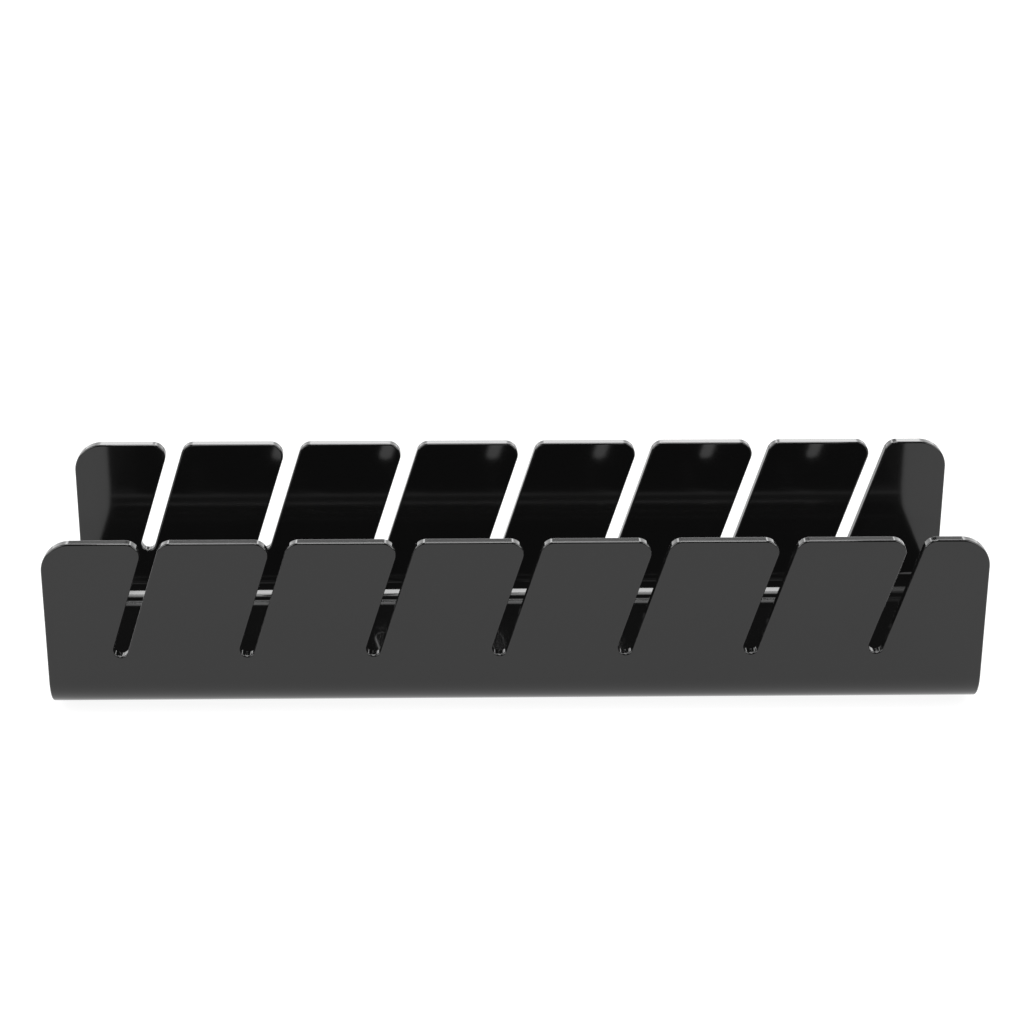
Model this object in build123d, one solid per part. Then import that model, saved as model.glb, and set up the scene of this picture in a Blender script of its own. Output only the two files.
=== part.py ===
from build123d import *
import os
from math import radians, tan

# A slotted card rack: one sheet of gloss acrylic, bent into a U-shaped trough
# that is open at both ends and at the top. Seven leaning slots are cut down
# through both walls in line, so that a card dropped into a pair of slots
# spans the trough and leans back. Four low bumpers under the base lift it
# off the table.
# Frame: +X along the trough, +Y from the front wall to the back wall, +Z up,
# origin on the table at the middle of the footprint. Lengths in millimetres,
# angles in degrees.

# --- the sheet and its two bends ---
length = 250.0                # along X, end to end
depth = 70.6                  # over the outer faces of the two walls
wall_height = 49.7            # underside of the base to the tops of the walls
sheet = 3.0                   # thickness of the acrylic
bend_outer_radius = 9.4       # outside of each bend
edge_round = 0.5              # radius that every cut edge is polished to

# --- the slots, centred on the trough at half their depth ---
slot_count = 7
slot_pitch = 33.6
slot_width = 3.9
slot_depth = 33.0             # wall top down to the lowest point of the slot
slot_lean = 17.3              # from the vertical, towards +X at the top

# --- corners of the cut blank ---
end_corner_radius = 8.0       # top corners at both ends of each wall
mouth_corner_radius = 3.7     # both corners of every slot's mouth

# --- the bumpers ---
foot_diameter = 9.5
foot_height = 1.5
foot_edge_round = 0.4
foot_from_end = 12.0          # foot centre to the end of the trough
foot_from_middle = 19.0       # foot centre to the trough's long middle line

base_bottom = foot_height
wall_top = base_bottom + wall_height
tolerance = 0.001


def bent_sheet():
    """The sheet bent into a U, with whole walls, as long as the trough."""
    inner_width = depth - 2 * sheet
    outside = Pos(0, base_bottom) * Rectangle(depth, wall_height, align=(Align.CENTER, Align.MIN))
    outside = fillet(outside.vertices().group_by(Axis.Y)[0], bend_outer_radius)
    inside = Pos(0, base_bottom + sheet) * Rectangle(inner_width, wall_height, align=(Align.CENTER, Align.MIN))
    inside = fillet(inside.vertices().group_by(Axis.Y)[0], bend_outer_radius - sheet)
    return extrude(Plane.YZ * (outside - inside), length / 2, both=True)


def slot_outline(middle_x):
    """One leaning slot seen from the front: straight sides, a round bottom and an open top."""
    round_z = wall_top - slot_depth + slot_width / 2
    round_x = middle_x - (wall_top - slot_depth / 2 - round_z) * tan(radians(slot_lean))
    sides = Rot(0, 0, -slot_lean) * Rectangle(slot_width, 2 * slot_depth, align=(Align.CENTER, Align.MIN))
    return Pos(round_x, round_z) * (sides + Circle(slot_width / 2))


def wall_outline():
    """Either wall seen from the front, with its slots and every top corner rounded."""
    outline = Pos(0, base_bottom) * Rectangle(length, wall_height, align=(Align.CENTER, Align.MIN))
    first_x = -slot_pitch * (slot_count - 1) / 2
    for index in range(slot_count):
        outline -= slot_outline(first_x + index * slot_pitch)
    top_corners = outline.vertices().group_by(Axis.Y)[-1].sort_by(Axis.X)
    outline = fillet([top_corners[0], top_corners[-1]], end_corner_radius)
    mouths = [v for v in outline.vertices().group_by(Axis.Y)[-1] if is_mouth_corner(v)]
    return fillet(mouths, mouth_corner_radius)


def is_mouth_corner(vertex):
    """Whether a point on the top edge lies clear of the two rounded ends."""
    return abs(vertex.X) < length / 2 - end_corner_radius - tolerance


def slotted_trough():
    """The bent sheet with both walls cut to outline and every cut edge polished round."""
    cutter = extrude(Plane.XZ * wall_outline(), depth, both=True)
    trough = bent_sheet() & cutter
    # What stays sharp are the joints across the cut faces and the lines where the bends start.
    cut_edges = [e for e in trough.edges() if not is_smooth_joint(e)]
    return fillet(cut_edges, edge_round)


def is_smooth_joint(edge):
    """Whether an edge only joins two faces that run on smoothly into each other."""
    across_sheet = abs(edge.length - sheet) < tolerance
    along_bend = abs(edge.length - length) < tolerance
    return across_sheet or along_bend


def foot(x, y):
    """A low round bumper, its lower rim eased, stuck to the underside of the base."""
    body = Cylinder(foot_diameter / 2, foot_height, align=(Align.CENTER, Align.CENTER, Align.MIN))
    body = fillet(body.edges().group_by(Axis.Z)[0], foot_edge_round)
    return Pos(x, y, 0) * body


def save(shape, node):
    shape.label = node
    export_step(shape, "parts/" + node + ".step")


os.makedirs("parts", exist_ok=True)
save(slotted_trough(), "slotted_trough")
for row, y in (("front", -foot_from_middle), ("back", foot_from_middle)):
    for side, x in (("left", foot_from_end - length / 2), ("right", length / 2 - foot_from_end)):
        save(foot(x, y), "foot_" + row + "_" + side)
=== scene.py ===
from math import cos, pi, radians, sin, tan

import bpy
from mathutils import Matrix, Vector


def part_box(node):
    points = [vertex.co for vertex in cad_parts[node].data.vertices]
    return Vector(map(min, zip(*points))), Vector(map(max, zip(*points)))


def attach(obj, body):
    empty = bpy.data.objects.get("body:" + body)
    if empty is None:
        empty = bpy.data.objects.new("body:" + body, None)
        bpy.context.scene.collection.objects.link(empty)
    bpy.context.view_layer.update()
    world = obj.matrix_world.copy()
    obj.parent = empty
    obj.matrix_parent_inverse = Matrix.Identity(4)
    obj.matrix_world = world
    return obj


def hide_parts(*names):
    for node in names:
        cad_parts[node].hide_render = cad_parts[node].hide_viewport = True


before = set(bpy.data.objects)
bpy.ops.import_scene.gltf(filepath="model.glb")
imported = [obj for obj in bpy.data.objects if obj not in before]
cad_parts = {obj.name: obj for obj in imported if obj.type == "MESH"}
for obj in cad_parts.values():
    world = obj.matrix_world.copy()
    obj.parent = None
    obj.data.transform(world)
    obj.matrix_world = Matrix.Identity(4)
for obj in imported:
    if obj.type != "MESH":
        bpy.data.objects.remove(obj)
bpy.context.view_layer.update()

# A slotted card rack of gloss black acrylic: one sheet bent into a trough, on four low bumpers.
# Everything is in metres in the CAD frame: +X along the trough, +Y to the back, +Z up.

# --- the sheet, worked out from the CAD node's box ---
TROUGH_LOW, TROUGH_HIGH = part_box("slotted_trough")
LENGTH = TROUGH_HIGH.x - TROUGH_LOW.x
DEPTH = TROUGH_HIGH.y - TROUGH_LOW.y
BASE_BOTTOM = TROUGH_LOW.z
WALL_TOP = TROUGH_HIGH.z
SHEET = 0.0030               # thickness of the acrylic
BEND_RADIUS = 0.0094         # outside of each bend
EDGE_ROUND = 0.0005          # radius that every cut edge is polished to

# --- the slots, centred on the trough at half their depth ---
SLOT_COUNT = 7
SLOT_PITCH = 0.0336
SLOT_WIDTH = 0.0039
SLOT_DEPTH = 0.0330
SLOT_LEAN = radians(17.3)    # from the vertical, towards +X at the top
END_CORNER_RADIUS = 0.0080
MOUTH_CORNER_RADIUS = 0.0037

# --- how finely round shapes are divided ---
RADIANS_PER_STEP = radians(4)
RIM_STEPS = 6                # across each quarter round of the polished edge

# --- lengths along the outer skin, from the middle of the base up either wall ---
BASE_HALF = DEPTH / 2 - BEND_RADIUS
BEND_LENGTH = BEND_RADIUS * pi / 2
WALL_START = BASE_HALF + BEND_LENGTH


def arc(centre, radius, start, end, facing):
    """Points of an arc as (x, z, normal x, normal z); facing is -1 where the arc is hollow."""
    steps = max(2, round(abs(end - start) / RADIANS_PER_STEP))
    points = []
    for step in range(steps + 1):
        angle = start + (end - start) * step / steps
        across, up = cos(angle), sin(angle)
        points.append((centre[0] + radius * across, centre[1] + radius * up, facing * across, facing * up))
    return points


def slot_edge(middle_x):
    """One slot's edge from the left corner of its mouth, round its bottom, to the right corner."""
    half = SLOT_WIDTH / 2
    bottom_z = WALL_TOP - SLOT_DEPTH + half
    bottom_x = middle_x - (SLOT_DEPTH / 2 - half) * tan(SLOT_LEAN)
    across = bottom_x * cos(SLOT_LEAN) - bottom_z * sin(SLOT_LEAN)
    corner_z = WALL_TOP - MOUTH_CORNER_RADIUS

    def corner_x(side):
        reach = across + side * (half + MOUTH_CORNER_RADIUS)
        return (reach + corner_z * sin(SLOT_LEAN)) / cos(SLOT_LEAN)

    left = arc((corner_x(-1), corner_z), MOUTH_CORNER_RADIUS, pi / 2, -SLOT_LEAN, 1)
    bottom = arc((bottom_x, bottom_z), half, pi - SLOT_LEAN, 2 * pi - SLOT_LEAN, -1)
    right = arc((corner_x(1), corner_z), MOUTH_CORNER_RADIUS, pi - SLOT_LEAN, pi / 2, 1)
    return left + bottom + right


def wall_edge():
    """A wall's edge seen from the front, from its left end over the slots to its right end."""
    end_x = LENGTH / 2 - END_CORNER_RADIUS
    end_z = WALL_TOP - END_CORNER_RADIUS
    bend_z = BASE_BOTTOM + BEND_RADIUS
    points = [(-LENGTH / 2, bend_z, -1, 0)]
    points += arc((-end_x, end_z), END_CORNER_RADIUS, pi, pi / 2, 1)
    for index in range(SLOT_COUNT):
        points += slot_edge((index - (SLOT_COUNT - 1) / 2) * SLOT_PITCH)
    points += arc((end_x, end_z), END_CORNER_RADIUS, pi / 2, 0, 1)
    points.append((LENGTH / 2, bend_z, 1, 0))
    return points


def bend_places():
    """Where a bend is divided, as distances from the middle of the base; its end at the wall is left out."""
    steps = round(pi / 2 / RADIANS_PER_STEP)
    return [BASE_HALF + BEND_LENGTH * step / steps for step in range(steps)]


def blank_outline():
    """The flat blank's outline as (x, s, normal x, normal s), with s along the skin from front to back.

    The wall's number of points, and the number across the bends and base at either end, come with it.
    """
    wall = wall_edge()
    places = bend_places()
    bend_z = BASE_BOTTOM + BEND_RADIUS
    across = [-s for s in reversed(places)] + places
    front = [(x, -(WALL_START + z - bend_z), nx, -nz) for x, z, nx, nz in wall]
    back = [(x, WALL_START + z - bend_z, nx, nz) for x, z, nx, nz in reversed(wall)]
    right_end = [(LENGTH / 2, s, 1, 0) for s in across]
    left_end = [(-LENGTH / 2, s, -1, 0) for s in reversed(across)]
    return front + right_end + back + left_end, len(wall), len(across)


def fold(s):
    """The outer skin at s: its (y, z), the direction in which s grows, and the way out of the sheet."""
    side = 1 if s >= 0 else -1
    distance = abs(s)
    if distance <= BASE_HALF:
        return (s, BASE_BOTTOM), (1, 0), (0, -1)
    if distance >= WALL_START:
        height = BASE_BOTTOM + BEND_RADIUS + distance - WALL_START
        return (side * DEPTH / 2, height), (0, side), (side, 0)
    turn = (distance - BASE_HALF) / BEND_RADIUS
    y = side * (BASE_HALF + BEND_RADIUS * sin(turn))
    z = BASE_BOTTOM + BEND_RADIUS * (1 - cos(turn))
    return (y, z), (cos(turn), side * sin(turn)), (side * sin(turn), -cos(turn))


def rim_rings():
    """The edge's rings from the outer skin to the inner one, as inset, depth below the skin, and turn."""
    rings = []
    for step in range(RIM_STEPS + 1):
        turn = pi / 2 * step / RIM_STEPS
        rings.append((EDGE_ROUND * (1 - sin(turn)), EDGE_ROUND * (1 - cos(turn)), turn))
    return rings + [(inset, SHEET - depth, pi - turn) for inset, depth, turn in reversed(rings)]


def rim_point(point, ring):
    """Where one outline point lies on one ring of the edge, and the surface's normal there."""
    x, s, normal_x, normal_s = point
    inset, depth, turn = ring
    (y, z), (along_y, along_z), (out_y, out_z) = fold(s - inset * normal_s)
    place = Vector((x - inset * normal_x, y - depth * out_y, z - depth * out_z))
    edge_way = Vector((normal_x, normal_s * along_y, normal_s * along_z))
    skin_way = Vector((0, out_y, out_z))
    return place, edge_way * sin(turn) + skin_way * cos(turn)


def skin_faces(first, wall_count, across_count, total):
    """One skin's two walls and the strips between them, on the ring whose vertices start at first."""
    front = list(range(wall_count))
    back = list(range(wall_count + across_count, 2 * wall_count + across_count))
    faces = [front, back]
    for row in range(across_count + 1):
        left = -row % total
        next_left = -(row + 1) % total
        right = wall_count - 1 + row
        faces.append([left, right, right + 1, next_left])
    return [[first + index for index in face] for face in faces]


def make_trough():
    """The bent sheet as one closed mesh, with normals worked out from the sheet and not from its faces."""
    outline, wall_count, across_count = blank_outline()
    total = len(outline)
    rings = rim_rings()
    points = [rim_point(point, ring) for ring in rings for point in outline]
    last_ring = (len(rings) - 1) * total
    outer = [list(reversed(face)) for face in skin_faces(0, wall_count, across_count, total)]
    inner = skin_faces(last_ring, wall_count, across_count, total)
    rim = []
    for near in range(0, last_ring, total):
        for index in range(total):
            following = (index + 1) % total
            rim.append([near + index, near + following, near + total + following, near + total + index])
    mesh = bpy.data.meshes.new("card_rack_trough")
    mesh.from_pydata([place for place, _ in points], [], outer + inner + rim)
    mesh.materials.append(acrylic("black_acrylic", SKIN_ROUGHNESS, 0.0))
    mesh.materials.append(acrylic("polished_cut_edge", EDGE_ROUGHNESS, EDGE_LINE_DEPTH))
    skin_count = len(outer) + len(inner)
    for index, polygon in enumerate(mesh.polygons):
        polygon.use_smooth = True
        polygon.material_index = 0 if index < skin_count else 1
    mesh.normals_split_custom_set_from_vertices([normal for _, normal in points])
    trough = bpy.data.objects.new("card_rack_trough", mesh)
    bpy.context.scene.collection.objects.link(trough)
    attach(trough, "root")
    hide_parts("slotted_trough")


# --- materials ---
WHITE = (1.0, 1.0, 1.0, 1.0)
ACRYLIC_IOR = 1.49
ACRYLIC_BLACK = (0.0014, 0.0014, 0.0014, 1.0)
# painted light: the black acrylic glows faintly by this much, in place of the veil of light that the bright
# studio lays over the black
PAINTED_VEIL_GLOW = 0.0026                # the veil that the bright studio lays over the black
SKIN_ROUGHNESS = 0.07
EDGE_ROUGHNESS = 0.05
SMEAR_SCALE = 40.0           # smears per metre in the gloss
EDGE_LINE_SCALE = 900.0      # cutting lines per metre along the polished edge
EDGE_LINE_DEPTH = 0.000001
RUBBER_BLACK = (0.012, 0.012, 0.012, 1.0)
RUBBER_ROUGHNESS = 0.75
GRAIN_SCALE = 2500.0         # grains per metre in the rubber
GRAIN_DEPTH = 0.00003


def new_material(name):
    """An empty node material and its tree, with a Principled shader wired to the output."""
    material = bpy.data.materials.new(name)
    material.use_nodes = True
    tree = material.node_tree
    tree.nodes.clear()
    output = tree.nodes.new("ShaderNodeOutputMaterial")
    shader = tree.nodes.new("ShaderNodeBsdfPrincipled")
    tree.links.new(shader.outputs["BSDF"], output.inputs["Surface"])
    return material, tree, shader


def noise(tree, scale, stretch=(1, 1, 1), detail=2.0):
    """A noise texture in the object's own metres, stretched along some axes."""
    place = tree.nodes.new("ShaderNodeTexCoord")
    mapping = tree.nodes.new("ShaderNodeMapping")
    texture = tree.nodes.new("ShaderNodeTexNoise")
    mapping.inputs["Scale"].default_value = stretch
    texture.inputs["Scale"].default_value = scale
    texture.inputs["Detail"].default_value = detail
    tree.links.new(place.outputs["Object"], mapping.inputs["Vector"])
    tree.links.new(mapping.outputs["Vector"], texture.inputs["Vector"])
    return texture.outputs["Fac"]


def spread(tree, value, low, high):
    """Maps a 0 to 1 value to low to high."""
    node = tree.nodes.new("ShaderNodeMapRange")
    node.inputs["To Min"].default_value = low
    node.inputs["To Max"].default_value = high
    tree.links.new(value, node.inputs["Value"])
    return node.outputs["Result"]


def bump(tree, shader, height, distance):
    """Raises the surface by a 0 to 1 height times distance."""
    node = tree.nodes.new("ShaderNodeBump")
    node.inputs["Distance"].default_value = distance
    tree.links.new(height, node.inputs["Height"])
    tree.links.new(node.outputs["Normal"], shader.inputs["Normal"])


def acrylic(name, roughness, line_depth):
    """Gloss black acrylic; on a cut edge, line_depth is the depth of the fine lines across the sheet."""
    material, tree, shader = new_material(name)
    shader.inputs["Base Color"].default_value = ACRYLIC_BLACK
    shader.inputs["IOR"].default_value = ACRYLIC_IOR
    shader.inputs["Emission Color"].default_value = WHITE
    # painted light: the sheet glows faintly, standing in for the studio's veil of light over the black
    shader.inputs["Emission Strength"].default_value = PAINTED_VEIL_GLOW
    smears = noise(tree, SMEAR_SCALE)
    tree.links.new(spread(tree, smears, 0.7 * roughness, 1.3 * roughness), shader.inputs["Roughness"])
    if line_depth:
        lines = noise(tree, EDGE_LINE_SCALE, stretch=(1, 0.03, 1), detail=3.0)
        bump(tree, shader, lines, line_depth)
    return material


def rubber():
    """Matt black rubber with a fine moulded grain."""
    material, tree, shader = new_material("bumper_rubber")
    shader.inputs["Base Color"].default_value = RUBBER_BLACK
    shader.inputs["Roughness"].default_value = RUBBER_ROUGHNESS
    bump(tree, shader, noise(tree, GRAIN_SCALE, detail=4.0), GRAIN_DEPTH)
    return material


# --- the studio: a lit white table in a pale room that has dark stretches behind and in front ---
TABLE_GLOW = 0.92            # radiance of the table's own light
TABLE_WHITE = (0.15, 0.15, 0.15, 1.0)
TABLE_SIZE = 12.0

# Radiance of the room against the sine of the elevation, behind the rack, beside it and in front of it.
BACK_LEVELS = [(0.00, 2.5), (0.24, 2.0), (0.31, 1.7), (0.355, 2.5), (0.37, 5.0), (0.392, 5.0), (0.398, 0.8),
               (0.43, 0.7), (0.44, 0.0), (0.74, 0.0), (0.77, 1.0)]
SIDE_LEVELS = [(0.00, 1.0), (0.43, 1.0), (0.50, 0.5), (1.00, 1.0)]
FRONT_LEVELS = [(0.00, 1.0), (0.04, 1.0), (0.07, 0.0)]
FRONT_FADE = (-0.38, -0.28)  # where a direction's y crosses from the front's levels to the sides'
BACK_FADE = (0.55, 0.75)     # and from the sides' to the back's

# Softboxes as elevation, azimuth (0 in front, 90 at the right), distance, width, height and radiance.
SOFTBOXES = {
    "softbox_overhead": (82.5, 0, 1.4, 0.60, 0.54, 12.0),
    "softbox_back": (39, 180, 1.6, 1.20, 0.50, 9.0),
    "softbox_left": (35, -72, 1.4, 1.20, 1.00, 4.0),
    "softbox_right": (35, 72, 1.4, 1.20, 1.00, 4.0),
}


def make_table():
    """A plain white table under the bumpers, lit through from below."""
    half = TABLE_SIZE / 2
    corners = [(-half, -half, 0), (half, -half, 0), (half, half, 0), (-half, half, 0)]
    mesh = bpy.data.meshes.new("studio_table")
    mesh.from_pydata(corners, [], [[0, 1, 2, 3]])
    material, tree, shader = new_material("studio_table_white")
    shader.inputs["Base Color"].default_value = TABLE_WHITE
    shader.inputs["Roughness"].default_value = 1.0
    shader.inputs["Specular IOR Level"].default_value = 0.0
    shader.inputs["Emission Color"].default_value = WHITE
    shader.inputs["Emission Strength"].default_value = TABLE_GLOW
    mesh.materials.append(material)
    table = bpy.data.objects.new("studio_table", mesh)
    bpy.context.scene.collection.objects.link(table)


def make_softbox(name, elevation, azimuth, distance, width, height, radiance):
    """A rectangular light aimed at the rack from the given direction."""
    light = bpy.data.lights.new(name, "AREA")
    light.shape = "RECTANGLE"
    light.size = width
    light.size_y = height
    light.energy = radiance * pi * width * height
    softbox = bpy.data.objects.new(name, light)
    rise, turn = radians(elevation), radians(azimuth)
    away = Vector((sin(turn) * cos(rise), -cos(turn) * cos(rise), sin(rise)))
    softbox.location = away * distance
    softbox.rotation_mode = "QUATERNION"
    softbox.rotation_quaternion = away.to_track_quat("Z", "Y")
    bpy.context.scene.collection.objects.link(softbox)


def level_ramp(tree, height, levels):
    """Radiance read off a list of (height, radiance)."""
    brightest = max(level for _, level in levels)
    ramp = tree.nodes.new("ShaderNodeValToRGB")
    stops = ramp.color_ramp.elements
    while len(stops) < len(levels):
        stops.new(1.0)
    for stop, (place, level) in zip(stops, levels):
        stop.position = place
        share = level / brightest
        stop.color = (share, share, share, 1.0)
    scaled = tree.nodes.new("ShaderNodeMath")
    scaled.operation = "MULTIPLY"
    scaled.inputs[1].default_value = brightest
    tree.links.new(height, ramp.inputs["Fac"])
    tree.links.new(ramp.outputs["Color"], scaled.inputs[0])
    return scaled.outputs["Value"]


def crossing(tree, value, fade, low, high):
    """Goes smoothly from low to high as the value crosses the fade."""
    node = tree.nodes.new("ShaderNodeMapRange")
    node.interpolation_type = "SMOOTHSTEP"
    node.inputs["From Min"].default_value, node.inputs["From Max"].default_value = fade
    tree.links.new(value, node.inputs["Value"])
    tree.links.new(low, node.inputs["To Min"])
    tree.links.new(high, node.inputs["To Max"])
    return node.outputs["Result"]


def make_world():
    """The room around the table, which has its own levels behind the rack, beside it and in front of it."""
    world = bpy.data.worlds.new("studio")
    world.use_nodes = True
    tree = world.node_tree
    background = tree.nodes["Background"]
    direction = tree.nodes.new("ShaderNodeTexCoord")
    parts = tree.nodes.new("ShaderNodeSeparateXYZ")
    tree.links.new(direction.outputs["Generated"], parts.inputs["Vector"])
    back, side, front = [
        level_ramp(tree, parts.outputs["Z"], levels) for levels in (BACK_LEVELS, SIDE_LEVELS, FRONT_LEVELS)
    ]
    front_half = crossing(tree, parts.outputs["Y"], FRONT_FADE, front, side)
    level = crossing(tree, parts.outputs["Y"], BACK_FADE, front_half, back)
    tree.links.new(level, background.inputs["Strength"])
    background.inputs["Color"].default_value = WHITE
    bpy.context.scene.world = world


# --- the camera ---
CAMERA_PLACE = Vector((-0.0156, -0.6454, 0.3323))
CAMERA_YAW = radians(1.33)       # to the right of +Y
CAMERA_PITCH = radians(24.05)    # below the horizon
CAMERA_ROLL = radians(0.27)
CAMERA_LENS = 90.2               # mm
CAMERA_SENSOR = 36.0             # mm


def make_camera():
    """The camera at the photograph's place, which the render is made from."""
    data = bpy.data.cameras.new("camera")
    data.sensor_width = CAMERA_SENSOR
    data.lens = CAMERA_LENS
    data.clip_start = 0.01
    data.clip_end = 50.0
    camera = bpy.data.objects.new("camera", data)
    turn = Matrix.Rotation(-CAMERA_YAW, 3, "Z") @ Matrix.Rotation(pi / 2 - CAMERA_PITCH, 3, "X")
    turn = turn @ Matrix.Rotation(CAMERA_ROLL, 3, "Z")
    camera.location = CAMERA_PLACE
    camera.rotation_euler = turn.to_euler()
    bpy.context.scene.collection.objects.link(camera)
    bpy.context.scene.camera = camera


make_trough()
bumper = rubber()
for node in ("foot_front_left", "foot_front_right", "foot_back_left", "foot_back_right"):
    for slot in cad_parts[node].material_slots:
        slot.material = bumper
make_table()
make_world()
for name, placing in SOFTBOXES.items():
    make_softbox(name, *placing)
make_camera()
bpy.context.scene.view_settings.view_transform = "Standard"
bpy.context.scene.cycles.use_denoising = True
